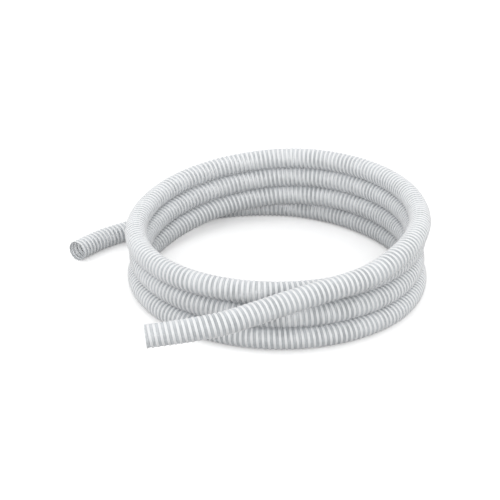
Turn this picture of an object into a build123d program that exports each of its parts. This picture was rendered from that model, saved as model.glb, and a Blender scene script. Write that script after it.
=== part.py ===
from build123d import *
import math
import os

# A coiled length of flexible spiral hose: a soft clear wall with a rigid white spiral bonded round it, cut
# square at both ends. Millimetres, +Z up. The origin is on the ground, under the middle of the whole piece.
# +Y points to the back, and bearings are degrees clockwise from +Y round the coil's centre, seen from above.

# ---- Hose section ----
bore_diameter = 25.0          # smooth inside of the wall
wall_thickness = 1.7          # soft wall under the spiral
spiral_height = 1.3           # how far the spiral's crests stand out of the soft wall
spiral_pitch_length = 7.0     # one turn of the spiral, along the hose
spiral_foot = 3.6             # width of the spiral where it sits on the wall
spiral_crest = 2.4            # width of its flat crest

bore_radius = bore_diameter / 2
wall_radius = bore_radius + wall_thickness
hose_radius = wall_radius + spiral_height
hose_diameter = 2 * hose_radius

# ---- Open ends ----
spiral_turns_shown = 5        # whole turns modelled at each mouth, where a cuff or a clamp grips
mouth_margin = spiral_pitch_length / 4        # bare wall before and after those turns
mouth_length = spiral_turns_shown * spiral_pitch_length + spiral_foot + 2 * mouth_margin
straight_length = mouth_length + spiral_foot  # the hose is straight to one spiral's width past them

# ---- Coil ----
coil_centre_x = 44.0          # the loose ends put the coil's centre off the origin
coil_centre_y = 44.6
lay_radius = 200.0            # mean radius of the coil, to the hose's centreline
lay_clearance = 0.4           # gap between one turn and the turn that it lies on
turn_rise = hose_diameter + lay_clearance
steps_per_turn = 24
coil_sweep = 1200             # bearing at which the hose leaves the coil, counted through all its turns
climb_start = 276             # bearing at which each turn starts to climb onto the one before
climb_sweep = 110             # and the sweep over which it climbs a whole turn's rise

# A loose coil isn't round. At every eighth of a turn, from the back: how far the hose lies outside the mean
# radius, in hose diameters.
offsets_per_turn = 8
lay_offsets = (
    0.50, 0.00, 0.00, 0.30, 0.35, 0.15, -0.05, -0.30,
    -0.10, -0.10, -0.15, 0.15, 0.25, 0.05, -0.15, -0.10,
    -0.10, -0.10, -0.10, 0.05, 0.10, 0.15, 0.00, 0.10,
    -0.15, -0.15, -0.05, 0.55,
)

# ---- Loose ends ----
# The rear one lies on the ground. The front one comes off the top of the coil, rests across its lower turns
# and reaches out past them, clear of the ground. Route corners: bearing, hose diameters outside the mean
# radius, and turns above the ground turn. The rear ones run to the coil and the front ones from it.
rear_corners = ((-78.7, 3.22, 0), (-62.2, 1.86, 0), (-42.0, 0.99, 0), (-21.0, 0.77, 0))
front_corners = (
    (135, 0.70, 2.90), (150, 0.95, 2.60), (168, 1.30, 2.55),
    (184.5, 2.25, 2.30), (196, 3.60, 2.05), (208.5, 4.75, 1.80),
)
rear_loose_length = 330.0     # hose outside the coil at the rear mouth
front_loose_length = 410.0    # and at the front one

arc_share = 0.45              # share of the shorter run that each arc of the route takes up
band_length = 48.0            # the curved tube is built in mitred straight bands of about this length


def route_point(bearing, radius, level):
    """A point of the route: bearing and radius about the coil's centre, and turns above the ground turn."""
    angle = math.radians(bearing)
    return Vector(
        coil_centre_x + radius * math.sin(angle),
        coil_centre_y + radius * math.cos(angle),
        hose_radius + level * turn_rise,
    )


def lay_offset(bearing):
    """Offset from the mean radius in hose diameters, on a smooth curve through the listed ones."""
    place = bearing / 360 * offsets_per_turn
    index = min(int(place), len(lay_offsets) - 2)
    part = place - index
    before, here, there = lay_offsets[max(index - 1, 0)], lay_offsets[index], lay_offsets[index + 1]
    after = lay_offsets[min(index + 2, len(lay_offsets) - 1)]
    return (
        here * (2 * part**3 - 3 * part**2 + 1)
        + there * (3 * part**2 - 2 * part**3)
        + (there - before) / 2 * (part**3 - 2 * part**2 + part)
        + (after - here) / 2 * (part**3 - part**2)
    )


def lay_level(bearing):
    """Turns above the ground turn: level on the turn below, with one smooth climb in each turn."""
    climbs = max((bearing - climb_start) / 360, 0)
    part = min(climbs % 1 * 360 / climb_sweep, 1)
    return math.floor(climbs) + part**2 * (3 - 2 * part)


def coil_corners():
    """Corners of the coiled route. They lie outside the lay, which touches the middles of their runs."""
    step = 360 / steps_per_turn
    outside = 1 / math.cos(math.radians(step / 2))
    bearings = [step * index for index in range(round(coil_sweep / step) + 1)]
    return [
        route_point(bearing, (lay_radius + lay_offset(bearing) * hose_diameter) * outside, lay_level(bearing))
        for bearing in bearings
    ]


def loose_corners(corners):
    """Corners of a loose end's route."""
    return [route_point(bearing, lay_radius + out * hose_diameter, level) for bearing, out, level in corners]


def route_line(corners):
    """Straight runs joined by tangent arcs, each arc as large as its two runs allow. Prints their radii."""
    radii = []
    for before, corner, after in zip(corners, corners[1:], corners[2:]):
        run_in, run_out = corner - before, after - corner
        half_turn = math.radians(run_in.get_angle(run_out)) / 2
        radii.append(arc_share * min(run_in.length, run_out.length) / math.tan(half_turn))
    print("route arcs, radius in mm:", ", ".join(f"{radius:.0f}" for radius in radii))
    return FilletPolyline(*corners, radius=radii)


def band_points(line):
    """Points a band apart, from the inner end of one straight end to that of the other. The last band is two
    halves, because the front straight end comes out of a tight bend and its mitre has to stay shallow."""
    curved_length = line.length - 2 * straight_length
    count = round(curved_length / band_length)
    places = [*range(count), count - 1 / 2, count]
    lengths = [straight_length + curved_length * place / count for place in places]
    return [line.position_at(length / line.length) for length in lengths]


def split_route(line):
    """Points of the rear, coiled and front stretches, which meet square in the middle of a shared band."""
    points = band_points(line)
    rear = round((rear_loose_length - straight_length) / band_length)
    front = len(points) - round((front_loose_length - straight_length) / band_length) - 1
    rear_joint = (points[rear - 1] + points[rear]) / 2
    front_joint = (points[front - 1] + points[front]) / 2
    return (
        [line.position_at(0), *points[:rear], rear_joint],
        [rear_joint, *points[rear:front], front_joint],
        [front_joint, *points[front:], line.position_at(1)],
    )


def tube(name, points, section):
    """A tube in straight mitred bands. Prints its volume beside its section times its length."""
    path = Polyline(*points)
    profile = Plane(origin=path.position_at(0), z_dir=path.tangent_at(0)) * section
    solid = sweep(profile, path=path, transition=Transition.RIGHT)
    print(f"{name}: volume {solid.volume:.0f}, section times length {section.area * path.length:.0f}")
    return solid


def turned_down(mouth):
    """The ring that is off the soft wall over a straight mouth, where the spiral's turns are modelled."""
    ring = Circle(2 * hose_radius) - Circle(wall_radius)
    return mouth * extrude(ring, mouth_length)


def spiral_end(mouth):
    """The last turns of the rigid spiral, seated on the bare wall of a mouth."""
    helix = Helix(spiral_pitch_length, spiral_turns_shown * spiral_pitch_length, wall_radius)
    foot, crest = spiral_foot / 2, spiral_crest / 2
    outline = Polyline((0, -foot), (spiral_height, -crest), (spiral_height, crest), (0, foot), close=True)
    profile = Plane(origin=helix.position_at(0), x_dir=(1, 0, 0), z_dir=(0, 1, 0)) * make_face(outline)
    turns = sweep(profile, path=helix, is_frenet=True)
    return mouth * Pos(0, 0, mouth_margin + foot) * turns


route = route_line(loose_corners(rear_corners) + coil_corners() + loose_corners(front_corners))
rear_points, coil_points, front_points = split_route(route)
print(f"hose length {route.length:.0f}, each straight end {straight_length:.3f}")

# Planes at the cut faces, with +Z pointing into the hose.
rear_mouth = Plane(origin=rear_points[0], z_dir=rear_points[1] - rear_points[0])
front_mouth = Plane(origin=front_points[-1], z_dir=front_points[-2] - front_points[-1])
for name, mouth in (("rear", rear_mouth), ("front", front_mouth)):
    print(f"{name} mouth at {tuple(mouth.origin)}, opening towards {tuple(-mouth.z_dir)}")

hollow = Circle(hose_radius) - Circle(bore_radius)
pieces = {
    "rear_soft_wall": tube("rear soft wall", rear_points, hollow) - turned_down(rear_mouth),
    "coiled_hose": tube("coiled hose", coil_points, Circle(hose_radius)),
    "front_soft_wall": tube("front soft wall", front_points, hollow) - turned_down(front_mouth),
    "rigid_spiral": Compound(children=[spiral_end(rear_mouth), spiral_end(front_mouth)]),
}

os.makedirs("parts", exist_ok=True)
for name, piece in pieces.items():
    export_step(piece, f"parts/{name}.step")
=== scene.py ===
"""Coiled spiral hose: a clear flexible wall with a rigid white spiral bonded round it, laid in a loose coil.

Metres, +Z up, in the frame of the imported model. The origin is on the ground, under the middle of the piece.
"""

import math

import bmesh
import bpy
import numpy as np
from bpy.props import FloatProperty, FloatVectorProperty, IntProperty, PointerProperty
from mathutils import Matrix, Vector


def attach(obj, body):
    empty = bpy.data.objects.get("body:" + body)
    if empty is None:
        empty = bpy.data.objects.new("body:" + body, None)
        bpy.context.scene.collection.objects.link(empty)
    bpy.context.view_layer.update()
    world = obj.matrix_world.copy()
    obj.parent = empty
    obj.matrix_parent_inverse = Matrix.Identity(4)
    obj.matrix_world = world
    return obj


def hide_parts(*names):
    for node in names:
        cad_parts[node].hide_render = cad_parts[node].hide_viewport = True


bl_info = {
    "name": "Coiled spiral hose",
    "version": (1, 0, 0),
    "blender": (4, 5, 0),
    "location": "3D View > Sidebar > Hose",
    "description": "Lays a clear hose with a rigid white spiral in a loose coil, with two open ends",
    "category": "Add Mesh",
}

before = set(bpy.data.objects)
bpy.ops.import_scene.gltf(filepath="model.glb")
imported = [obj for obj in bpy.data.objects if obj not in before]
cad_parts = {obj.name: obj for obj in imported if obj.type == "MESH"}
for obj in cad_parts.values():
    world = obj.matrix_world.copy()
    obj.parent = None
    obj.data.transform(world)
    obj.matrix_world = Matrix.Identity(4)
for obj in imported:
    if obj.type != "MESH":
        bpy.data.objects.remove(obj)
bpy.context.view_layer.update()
CAD_WALLS = ("rear_soft_wall", "coiled_hose", "front_soft_wall")
MM = 0.001

# ---- Route ----
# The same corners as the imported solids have, but for a little more bend in the last of the rear end. Bearings
# are degrees clockwise from +Y round the coil's centre, seen from above, and offsets are in hose diameters
# outside the mean radius of the lay.
OFFSETS_PER_TURN = 8
LAY_OFFSETS = (
    0.50, 0.00, 0.00, 0.30, 0.35, 0.15, -0.05, -0.30,
    -0.10, -0.10, -0.15, 0.15, 0.25, 0.05, -0.15, -0.10,
    -0.10, -0.10, -0.10, 0.05, 0.10, 0.15, 0.00, 0.10,
    -0.15, -0.15, -0.05, 0.55,
)
# Bearing, hose diameters outside the mean radius, and turns above the ground turn. The rear end lies on the
# ground, and the front one rests across the lower turns and reaches out past them, clear of the ground.
REAR_CORNERS = ((-80.3, 3.19, 0), (-71.5, 2.65, 0), (-58.7, 1.62, 0), (-42.0, 0.99, 0), (-21.0, 0.77, 0))
FRONT_CORNERS = (
    (135, 0.70, 2.90), (150, 0.95, 2.60), (168, 1.30, 2.55),
    (184.5, 2.25, 2.30), (196, 3.60, 2.05), (208.5, 4.75, 1.80),
)
COIL_SWEEP = 1200             # bearing at which the hose leaves the coil, counted through all its turns
STEPS_PER_TURN = 24
CLIMB_START = 276             # bearing at which each turn starts to climb onto the one before
CLIMB_SWEEP = 110             # and the sweep over which it climbs a whole turn's rise
LINE_STEPS = 8                # steps of the drawn centreline between two of its points

# ---- Meshes ----
WALL_MERGE = 1e-6             # metres: corners of the wall nearer than this are one
TURN_MERGE = 1e-5             # metres: and so are those of two turns of the spiral, where they meet
SHOULDER_RISE = 0.55          # height of the spiral's shoulder, as a share of the crown's
SPARE_TURNS = 2               # turns wound before the rear mouth and past the front one, then cut off

# ---- Shading ----
WELD_REACH = 0.03             # shares of a pitch, to each side of half way between two turns
HOLLOW_REACH = 0.26
WALL_LINES = (60, 60, 1500)   # cells per metre: long round the hose, and close together along it
SPIRAL_LINES = (90, 90, 3200)
WALL_BUMP = 0.0006            # height of the surface's unevenness, in metres
SPIRAL_BUMP = 0.0002
WALL_IOR = 1.53
SPIRAL_IOR = 1.54

# ---- Stage, in metres ----
CAMERA_PLACE = (0.0062, -1.667, 0.8698)
CAMERA_AIM = (0.0062, -0.0169, 0.0713)
SENSOR_WIDTH_MM = 36
LAMP_PLACE = (-0.4, -10.2, 4.4)
LAMP_WIDTH = 7.0
WHITE = (1, 1, 1, 1)


def size(name, description, default_mm):
    """A length property, given in millimetres."""
    return FloatProperty(
        name=name, description=description, default=default_mm * MM, unit="LENGTH", precision=5
    )


def colour(name, description, default):
    """A colour property."""
    return FloatVectorProperty(
        name=name, description=description, default=default, subtype="COLOR", min=0, max=1
    )


def share(name, description, default):
    """A property from 0 to 1."""
    return FloatProperty(name=name, description=description, default=default, subtype="FACTOR", min=0, max=1)


class HoseSection(bpy.types.PropertyGroup):
    """The hose's section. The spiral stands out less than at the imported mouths, on the same diameter."""

    bore_diameter: size("Bore", "Inside diameter of the wall", 25.0)
    wall_thickness: size("Wall", "Thickness of the soft wall", 2.1)
    spiral_height: size("Spiral height", "How far the spiral stands out of the wall", 0.9)
    spiral_sink: size("Spiral sink", "How deep the spiral's foot is bonded into the wall", 0.5)
    spiral_pitch: size("Spiral pitch", "One turn of the spiral, along the hose", 7.0)
    spiral_foot: size("Spiral foot", "Width of the spiral at the wall", 3.6)
    spiral_crest: size("Spiral crest", "Width of the flat on the spiral's rounded crown", 0.85)
    wall_sides: IntProperty(name="Wall sides", description="Faces round the wall", default=28, min=8)
    spiral_steps: IntProperty(
        name="Spiral steps", description="Faces in one turn of the spiral", default=16, min=8
    )


class HoseLay(bpy.types.PropertyGroup):
    """How the hose lies."""

    centre_x: size("Centre X", "The coil's centre", 44.0)
    centre_y: size("Centre Y", "The coil's centre", 44.6)
    lay_radius: size("Lay radius", "Mean radius of the coil, to the hose's centreline", 200.0)
    lay_clearance: size("Lay clearance", "Gap between a turn and the one that it lies on", 0.4)
    hose_length: size("Hose length", "Length of the whole hose", 4970.0)


class HoseFinish(bpy.types.PropertyGroup):
    """Colours of the two plastics, and how clear the wall is."""

    wall_tint: colour("Wall tint", "The clear wall's own colour", (0.64, 0.67, 0.70))
    wall_haze: colour("Wall haze", "Its colour where it is hazier", (0.76, 0.79, 0.82))
    wall_cover: share("Wall cover", "How much the wall's outside hides where it is looked at squarely", 0.45)
    wall_edge: share("Wall edge", "How much more it hides where it is looked at along its face", 0.50)
    bore_cover: share("Bore cover", "How much the smooth bore hides, as a share of the outside", 0.20)
    spiral_white: colour("Spiral white", "The rigid spiral's colour", (0.84, 0.85, 0.86))
    spiral_rubbed: colour("Spiral rubbed", "Its colour where its crown is rubbed", (0.78, 0.79, 0.80))


class HoseStage(bpy.types.PropertyGroup):
    """Floor, lights and camera."""

    floor_size: size("Floor", "Side of the floor", 16000.0)
    floor_colour: colour("Floor colour", "The floor's colour where it is seen", (0.95, 0.95, 0.95))
    floor_bounce: colour("Floor bounce", "Its colour for the light that it throws back", (0.25, 0.25, 0.25))
    floor_lift: share("Floor lift", "Share of plain white in the floor that the camera sees", 0.30)
    sky_level: share("Sky level", "Strength of the light from all round", 1.00)
    lamp_power: FloatProperty(
        name="Lamp", description="Power of the soft lamp in front", default=340, subtype="POWER"
    )
    lens: FloatProperty(name="Lens", description="Focal length", default=94.95, subtype="DISTANCE_CAMERA")


class HoseSettings(bpy.types.PropertyGroup):
    """Everything that a user would change."""

    section: PointerProperty(type=HoseSection)
    lay: PointerProperty(type=HoseLay)
    finish: PointerProperty(type=HoseFinish)
    stage: PointerProperty(type=HoseStage)


def settings():
    """The scene's hose settings."""
    return bpy.context.scene.hose


def wall_radius():
    """Outside radius of the soft wall."""
    section = settings().section
    return section.bore_diameter / 2 + section.wall_thickness


def hose_radius():
    """Radius over the spiral's crowns."""
    return wall_radius() + settings().section.spiral_height


# ---- Route of the centreline ----


def route_point(bearing, radius, level):
    """A corner of the route: bearing and radius about the coil's centre, and turns above the ground turn."""
    lay = settings().lay
    angle = math.radians(bearing)
    rise = 2 * hose_radius() + lay.lay_clearance
    return (
        lay.centre_x + radius * math.sin(angle),
        lay.centre_y + radius * math.cos(angle),
        hose_radius() + level * rise,
    )


def lay_offset(bearing):
    """Offset from the mean radius in hose diameters, on a smooth curve through the listed ones."""
    place = bearing / 360 * OFFSETS_PER_TURN
    index = min(int(place), len(LAY_OFFSETS) - 2)
    part = place - index
    before, here, there = LAY_OFFSETS[max(index - 1, 0)], LAY_OFFSETS[index], LAY_OFFSETS[index + 1]
    after = LAY_OFFSETS[min(index + 2, len(LAY_OFFSETS) - 1)]
    return (
        here * (2 * part**3 - 3 * part**2 + 1)
        + there * (3 * part**2 - 2 * part**3)
        + (there - before) / 2 * (part**3 - 2 * part**2 + part)
        + (after - here) / 2 * (part**3 - part**2)
    )


def lay_level(bearing):
    """Turns above the ground turn: level on the turn below, with one smooth climb in each turn."""
    climbs = max((bearing - CLIMB_START) / 360, 0)
    part = min(climbs % 1 * 360 / CLIMB_SWEEP, 1)
    return math.floor(climbs) + part**2 * (3 - 2 * part)


def route_corners():
    """Corners of the whole route, from the rear mouth through the coil to the front mouth."""
    radius, diameter = settings().lay.lay_radius, 2 * hose_radius()
    step = 360 / STEPS_PER_TURN
    outside = 1 / math.cos(math.radians(step / 2))
    bearings = [step * index for index in range(round(COIL_SWEEP / step) + 1)]
    coil = [route_point(b, (radius + lay_offset(b) * diameter) * outside, lay_level(b)) for b in bearings]
    rear, front = (
        [route_point(b, radius + out * diameter, level) for b, out, level in corners]
        for corners in (REAR_CORNERS, FRONT_CORNERS)
    )
    return rear + coil + front


class Route:
    """The hose's centreline: a smooth open spline, and places along it by distance from the rear mouth."""

    def __init__(self):
        data = bpy.data.curves.new("hose_route", "CURVE")
        data.dimensions = "3D"
        data.resolution_u = LINE_STEPS
        corners = route_corners()
        spline = data.splines.new("NURBS")
        spline.points.add(len(corners) - 1)
        for point, corner in zip(spline.points, corners):
            point.co = (*corner, 1)
        spline.order_u = 3
        spline.use_endpoint_u = True
        holder = bpy.data.objects.new("hose_route", data)
        line = bpy.data.meshes.new_from_object(holder)
        self.points = np.array([v.co for v in line.vertices], float)
        bpy.data.meshes.remove(line)
        bpy.data.objects.remove(holder)
        bpy.data.curves.remove(data)
        steps = np.linalg.norm(np.diff(self.points, axis=0), axis=1)
        self.along = np.concatenate([[0], np.cumsum(steps)])
        self.length = float(self.along[-1])
        ahead = np.gradient(self.points, self.along, axis=0)
        self.ahead = ahead / np.linalg.norm(ahead, axis=1)[:, None]

    def sample(self, values, distance):
        """Rows of values at each distance along the route."""
        return np.stack([np.interp(distance, self.along, values[:, k]) for k in range(3)], axis=1)

    def places(self, distance):
        """Centre, side and up directions at each distance. Side, up and ahead are a right-handed set."""
        ahead = self.sample(self.ahead, distance)
        side = np.cross([0, 0, 1], ahead)
        side /= np.linalg.norm(side, axis=1)[:, None]
        up = np.cross(ahead, side)
        up /= np.linalg.norm(up, axis=1)[:, None]
        return self.sample(self.points, distance), side, up


def lay_on_route(mesh, route):
    """Bends a straight mesh, whose axis is Z, along the route. Its straight place stays as an attribute."""
    count = len(mesh.vertices)
    straight = np.zeros(count * 3, np.float32)
    mesh.vertices.foreach_get("co", straight)
    kept = mesh.attributes.new("straight", "FLOAT_VECTOR", "POINT")
    kept.data.foreach_set("vector", straight)
    straight = straight.reshape(-1, 3).astype(float)
    centre, side, up = route.places(straight[:, 2])
    bent = centre + straight[:, :1] * side + straight[:, 1:2] * up
    mesh.vertices.foreach_set("co", bent.astype(np.float32).ravel())
    mesh.update()


def closed_outline(mesh, points):
    """A closed loop of edges in the XZ plane, from (distance from the axis, place along it) pairs."""
    verts = [mesh.verts.new((radius, 0, along)) for radius, along in points]
    edges = [mesh.edges.new(pair) for pair in zip(verts, verts[1:] + verts[:1])]
    return verts + edges


def finished(mesh, name, material, route):
    """The bmesh as a smooth object on the route, riding on the root body."""
    data = bpy.data.meshes.new(name)
    mesh.to_mesh(data)
    mesh.free()
    lay_on_route(data, route)
    data.materials.append(material)
    piece = bpy.data.objects.new(name, data)
    bpy.context.scene.collection.objects.link(piece)
    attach(piece, "root")
    return piece


# ---- Shader maths ----


class Value:
    """A number or vector in a material. Sums and products with it add Math nodes."""

    def __init__(self, shader, socket):
        self.shader, self.socket = shader, socket

    def _math(self, operation, *values):
        return self.shader.node("ShaderNodeMath", {"operation": operation}, *values)

    def __add__(self, other):
        return self._math("ADD", self, other)

    def __sub__(self, other):
        return self._math("SUBTRACT", self, other)

    def __rsub__(self, other):
        return self._math("SUBTRACT", other, self)

    def __mul__(self, other):
        return self._math("MULTIPLY", self, other)

    def __truediv__(self, other):
        return self._math("DIVIDE", self, other)

    __radd__, __rmul__ = __add__, __mul__

    def between(self, low, high):
        """0 at low, 1 at high, and clamped outside."""
        return self.shader.node("ShaderNodeMapRange", {"clamp": True}, self, low, high, 0, 1)

    def call(self, operation, *values):
        """A Math node of that operation on this value."""
        return self._math(operation, self, *values)


class Shader:
    """A new material with its Principled shader."""

    def __init__(self, name):
        self.material = bpy.data.materials.new(name)
        self.material.use_nodes = True
        self.tree = self.material.node_tree
        self.tree.nodes.clear()
        self.output = self.tree.nodes.new("ShaderNodeOutputMaterial")

    def node(self, kind, options=None, *values, out=0, **named):
        """Adds a node: its settings first, then the values or links of its sockets, by place or by name."""
        made = self.tree.nodes.new(kind)
        for key, value in (options or {}).items():
            setattr(made, key, value)
        pairs = list(enumerate(values)) + [(key.replace("_", " "), value) for key, value in named.items()]
        for key, value in pairs:
            socket = made.inputs[key]
            if isinstance(value, Value):
                self.tree.links.new(value.socket, socket)
            elif value is not None:
                socket.default_value = value
        return Value(self, made.outputs[out])

    def mix(self, factor, one, other):
        """A colour that goes from one to the other with factor."""
        made = self.node("ShaderNodeMix", {"data_type": "RGBA"}, factor, out=2)
        node = made.socket.node
        for socket, value in ((node.inputs[6], one), (node.inputs[7], other)):
            if isinstance(value, Value):
                self.tree.links.new(value.socket, socket)
            else:
                socket.default_value = (*value, 1)
        return made

    def noise(self, vector, scale, detail=2.0):
        """A noise value from 0 to 1 on a vector."""
        return self.node("ShaderNodeTexNoise", None, Vector=vector, Scale=scale, Detail=detail)

    def stretched(self, vector, scale):
        """The vector scaled along its axes."""
        return self.node("ShaderNodeVectorMath", {"operation": "MULTIPLY"}, vector, scale)

    def finish(self, surface):
        """Links the surface to the output and gives the material."""
        self.tree.links.new(surface.socket, self.output.inputs["Surface"])
        return self.material


def straight_place(shader):
    """(vector, x, y, z) of where the surface lay when the hose was straight, in metres."""
    place = shader.node("ShaderNodeAttribute", {"attribute_name": "straight"}, out=1)
    apart = shader.node("ShaderNodeSeparateXYZ", None, place).socket.node
    return (place, *(Value(shader, socket) for socket in apart.outputs))


def turn_phase(x, y, z):
    """Where the surface lies between two turns of the spiral: 0 on one, 0.5 half way, 1 on the next."""
    around = y.call("ARCTAN2", x) / math.tau
    return (z / settings().section.spiral_pitch - around).call("FRACT")


def clear_wall_material():
    """Clear flexible vinyl: hazy patches, drawn lines, a weld half way between turns, and a clearer bore."""
    finish, section = settings().finish, settings().section
    shader = Shader("clear_vinyl")
    place, x, y, z = straight_place(shader)
    patches = shader.noise(place, 38.0, 3.0).between(0.35, 0.65)
    lines = shader.noise(shader.stretched(place, WALL_LINES), 1.0, 2.0)
    half_way = (turn_phase(x, y, z) - 0.5).call("ABSOLUTE")
    weld = 1 - half_way.between(0.0, WELD_REACH)
    hollow = half_way.between(0.0, HOLLOW_REACH)
    haze = (patches * 0.6 + lines * 0.4).between(0.1, 0.9)
    edge = shader.node("ShaderNodeLayerWeight", None, Blend=0.5, out=1)
    cover = haze * 0.12 + weld * 0.12 + edge * finish.wall_edge + finish.wall_cover
    outside = (x * x + y * y).call("SQRT").between(section.bore_diameter / 2, wall_radius())
    height = hollow * 0.5 + weld * 0.12 + lines * 0.1
    bump = shader.node("ShaderNodeBump", None, Strength=0.35, Distance=WALL_BUMP, Height=height)
    surface = shader.node(
        "ShaderNodeBsdfPrincipled",
        None,
        Base_Color=shader.mix(haze, finish.wall_tint, finish.wall_haze),
        Roughness=patches * 0.14 + lines * 0.08 + 0.16,
        Alpha=cover * (outside * (1 - finish.bore_cover) + finish.bore_cover),
        Normal=bump,
        IOR=WALL_IOR,
    )
    return shader.finish(surface)


def white_spiral_material():
    """Rigid white vinyl: drawn lines along the spiral, and a crown that is rubbed dull in places."""
    finish, section = settings().finish, settings().section
    shader = Shader("rigid_white_vinyl")
    place, x, y, _ = straight_place(shader)
    radius = (x * x + y * y).call("SQRT")
    crown = radius.between(hose_radius() - 0.5 * section.spiral_height, hose_radius())
    clouds = shader.noise(place, 55.0, 3.0)
    grain = shader.noise(place, 1400.0, 2.0)
    lines = shader.noise(shader.stretched(place, SPIRAL_LINES), 1.0, 2.0)
    rubbed = crown * shader.noise(place, 160.0, 4.0).between(0.5, 0.68)
    tone = (rubbed * 0.55 + (1 - clouds) * 0.35).between(0.0, 1.0)
    height = grain * 0.15 + lines * 0.35 - rubbed * 0.2
    bump = shader.node("ShaderNodeBump", None, Strength=0.3, Distance=SPIRAL_BUMP, Height=height)
    surface = shader.node(
        "ShaderNodeBsdfPrincipled",
        None,
        Base_Color=shader.mix(tone, finish.spiral_white, finish.spiral_rubbed),
        Roughness=rubbed * 0.25 + clouds * 0.1 + 0.27,
        Normal=bump,
        IOR=SPIRAL_IOR,
    )
    return shader.finish(surface)


def floor_material():
    """White floor: plain white where it is seen, it keeps the shadow, and it throws little light back."""
    stage = settings().stage
    shader = Shader("white_floor")
    rays = shader.node("ShaderNodeLightPath").socket.node.outputs
    camera, glossy, through = (
        Value(shader, rays[name]) for name in ("Is Camera Ray", "Is Glossy Ray", "Is Transmission Ray")
    )
    seen = camera.call("MAXIMUM", glossy).call("MAXIMUM", through)
    tone = shader.mix(seen, stage.floor_bounce, stage.floor_colour)
    matt = shader.node("ShaderNodeBsdfDiffuse", None, Color=tone)
    white = shader.node("ShaderNodeEmission", None, Color=WHITE, Strength=seen * stage.floor_lift)
    return shader.finish(shader.node("ShaderNodeAddShader", None, matt, white))


def studio_world():
    """Even light from all round, in front of plain white where the world is seen."""
    world = bpy.data.worlds.new("studio")
    world.use_nodes = True
    tree = world.node_tree
    tree.nodes.clear()
    output, rays, mixed, sky, white, direct, seen = (
        tree.nodes.new("ShaderNode" + kind)
        for kind in ("OutputWorld", "LightPath", "MixShader", "Background", "Background", "Math", "Math")
    )
    for background, strength in ((sky, settings().stage.sky_level), (white, 1.0)):
        background.inputs["Color"].default_value = WHITE
        background.inputs["Strength"].default_value = strength
    direct.operation = seen.operation = "ADD"
    seen.use_clamp = True
    for source, target in (
        (rays.outputs["Is Camera Ray"], direct.inputs[0]),
        (rays.outputs["Is Glossy Ray"], direct.inputs[1]),
        (direct.outputs[0], seen.inputs[0]),
        (rays.outputs["Is Transmission Ray"], seen.inputs[1]),
        (seen.outputs[0], mixed.inputs[0]),
        (sky.outputs[0], mixed.inputs[1]),
        (white.outputs[0], mixed.inputs[2]),
        (mixed.outputs[0], output.inputs["Surface"]),
    ):
        tree.links.new(source, target)
    return world


# ---- Operators ----


class HOSE_OT_clear_wall(bpy.types.Operator):
    """Lay the clear flexible wall, with its smooth bore and square-cut ends"""

    bl_idname = "hose.clear_wall"
    bl_label = "Clear wall"

    def execute(self, context):
        section, lay = settings().section, settings().lay
        route = Route()
        rings = round(route.length / section.spiral_pitch)
        along = [route.length * index / rings for index in range(rings + 1)]
        outside = [(wall_radius(), place) for place in along]
        inside = [(section.bore_diameter / 2, place) for place in reversed(along)]
        mesh = bmesh.new()
        outline = closed_outline(mesh, outside + inside)
        bmesh.ops.spin(
            mesh,
            geom=outline,
            cent=(0, 0, 0),
            axis=(0, 0, 1),
            angle=math.tau,
            steps=section.wall_sides,
            use_merge=True,
        )
        bmesh.ops.remove_doubles(mesh, verts=mesh.verts[:], dist=WALL_MERGE)
        bmesh.ops.recalc_face_normals(mesh, faces=mesh.faces[:])
        for face in mesh.faces:  # all smooth but the cut ends, which are square across the hose
            along_face = {round(vert.co.z, 6) for vert in face.verts}
            face.smooth = len(along_face) > 1
        wall = finished(mesh, "clear_wall", clear_wall_material(), route)
        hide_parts(*CAD_WALLS)
        centres, _, _ = route.places(np.array(along))
        return {"FINISHED"}


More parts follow.
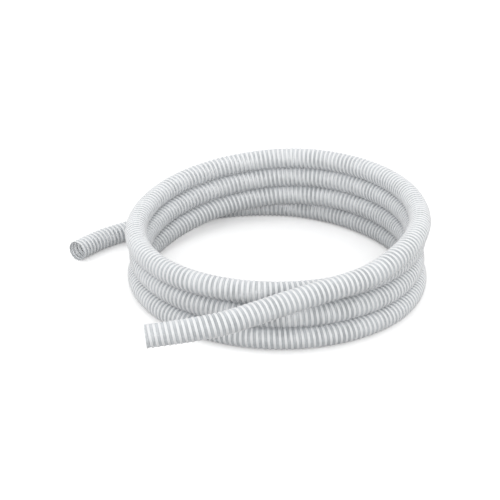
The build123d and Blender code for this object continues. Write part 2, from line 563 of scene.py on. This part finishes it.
class HOSE_OT_white_spiral(bpy.types.Operator):
    """Wind the rigid white spiral round the wall, cut flush at both ends"""

    bl_idname = "hose.white_spiral"
    bl_label = "White spiral"

    def execute(self, context):
        section = settings().section
        route = Route()
        foot, crest, pitch = section.spiral_foot / 2, section.spiral_crest / 2, section.spiral_pitch
        sunk, crown = wall_radius() - section.spiral_sink, hose_radius()
        shoulder = wall_radius() + SHOULDER_RISE * section.spiral_height
        shoulder_half = (foot + crest) * 2 / 3
        outline = (
            (sunk, -foot), (shoulder, -shoulder_half), (crown, -crest),
            (crown, crest), (shoulder, shoulder_half), (sunk, foot),
        )
        mesh = bmesh.new()
        bmesh.ops.spin(
            mesh,
            geom=closed_outline(mesh, outline),
            cent=(0, 0, 0),
            axis=(0, 0, 1),
            dvec=(0, 0, pitch / section.spiral_steps),
            angle=math.tau,
            steps=section.spiral_steps,
        )
        bmesh.ops.translate(mesh, verts=mesh.verts[:], vec=(0, 0, -SPARE_TURNS * pitch))
        one_turn = bpy.data.meshes.new("one_turn")
        mesh.to_mesh(one_turn)
        mesh.free()
        holder = bpy.data.objects.new("one_turn", one_turn)
        context.scene.collection.objects.link(holder)
        turns = holder.modifiers.new("turns", "ARRAY")
        turns.count = math.ceil(route.length / pitch) + 2 * SPARE_TURNS
        turns.use_relative_offset = False
        turns.use_constant_offset = True
        turns.constant_offset_displace = (0, 0, pitch)
        turns.use_merge_vertices = True
        turns.merge_threshold = TURN_MERGE
        wound = bpy.data.meshes.new_from_object(holder.evaluated_get(context.evaluated_depsgraph_get()))
        mesh = bmesh.new()
        mesh.from_mesh(wound)
        for data in (wound, one_turn):
            bpy.data.meshes.remove(data)
        for place, outward in ((0, -1), (route.length, 1)):
            everything = mesh.verts[:] + mesh.edges[:] + mesh.faces[:]
            bmesh.ops.bisect_plane(
                mesh, geom=everything, plane_co=(0, 0, place), plane_no=(0, 0, outward), clear_outer=True
            )
            cut = [edge for edge in mesh.edges if edge.is_boundary]
            bmesh.ops.holes_fill(mesh, edges=cut, sides=0)
        bmesh.ops.recalc_face_normals(mesh, faces=mesh.faces[:])
        for face in mesh.faces:  # all smooth but the filled cuts
            face.smooth = len(face.verts) == 4
        spiral = finished(mesh, "white_spiral", white_spiral_material(), route)
        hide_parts("rigid_spiral")
        return {"FINISHED"}


class HOSE_OT_stage(bpy.types.Operator):
    """Set the white floor, the soft light and the camera"""

    bl_idname = "hose.stage"
    bl_label = "Stage"

    def execute(self, context):
        stage, scene = settings().stage, context.scene
        mesh = bmesh.new()
        bmesh.ops.create_grid(mesh, x_segments=1, y_segments=1, size=stage.floor_size / 2)
        data = bpy.data.meshes.new("floor")
        mesh.to_mesh(data)
        mesh.free()
        data.materials.append(floor_material())
        floor = bpy.data.objects.new("floor", data)
        scene.collection.objects.link(floor)

        scene.world = studio_world()

        lamp_data = bpy.data.lights.new("soft_front", "AREA")
        lamp_data.shape = "DISK"
        lamp_data.size = LAMP_WIDTH
        lamp_data.energy = stage.lamp_power
        lamp = bpy.data.objects.new("soft_front", lamp_data)
        lamp.location = LAMP_PLACE
        lamp.rotation_euler = Vector(LAMP_PLACE).to_track_quat("Z", "Y").to_euler()
        scene.collection.objects.link(lamp)

        camera_data = bpy.data.cameras.new("camera")
        camera_data.lens = stage.lens
        camera_data.sensor_width = SENSOR_WIDTH_MM
        camera = bpy.data.objects.new("camera", camera_data)
        camera.location = CAMERA_PLACE
        camera.rotation_euler = (Vector(CAMERA_AIM) - camera.location).to_track_quat("-Z", "Y").to_euler()
        scene.collection.objects.link(camera)
        scene.camera = camera
        scene.view_settings.view_transform = "Standard"
        return {"FINISHED"}


class HOSE_PT_panel(bpy.types.Panel):
    """Everything that makes the hose"""

    bl_label = "Hose"
    bl_idname = "HOSE_PT_panel"
    bl_space_type = "VIEW_3D"
    bl_region_type = "UI"
    bl_category = "Hose"

    def draw(self, context):
        for group in ("section", "lay", "finish", "stage"):
            box = self.layout.box()
            values = getattr(context.scene.hose, group)
            for name in values.bl_rna.properties.keys():
                if name not in {"rna_type", "name"}:
                    box.prop(values, name)
        for operator in OPERATORS:
            self.layout.operator(operator.bl_idname)


OPERATORS = (HOSE_OT_white_spiral, HOSE_OT_clear_wall, HOSE_OT_stage)
CLASSES = (HoseSection, HoseLay, HoseFinish, HoseStage, HoseSettings, *OPERATORS, HOSE_PT_panel)


def register():
    """Registers the classes and hangs the settings on the scene."""
    for kind in CLASSES:
        bpy.utils.register_class(kind)
    bpy.types.Scene.hose = PointerProperty(type=HoseSettings)


def unregister():
    """Takes away what register put in place."""
    del bpy.types.Scene.hose
    for kind in reversed(CLASSES):
        bpy.utils.unregister_class(kind)


def main():
    """Builds the hose and its stage."""
    register()
    bpy.ops.hose.white_spiral()
    bpy.ops.hose.clear_wall()
    bpy.ops.hose.stage()


if __name__ == "__main__":
    main()
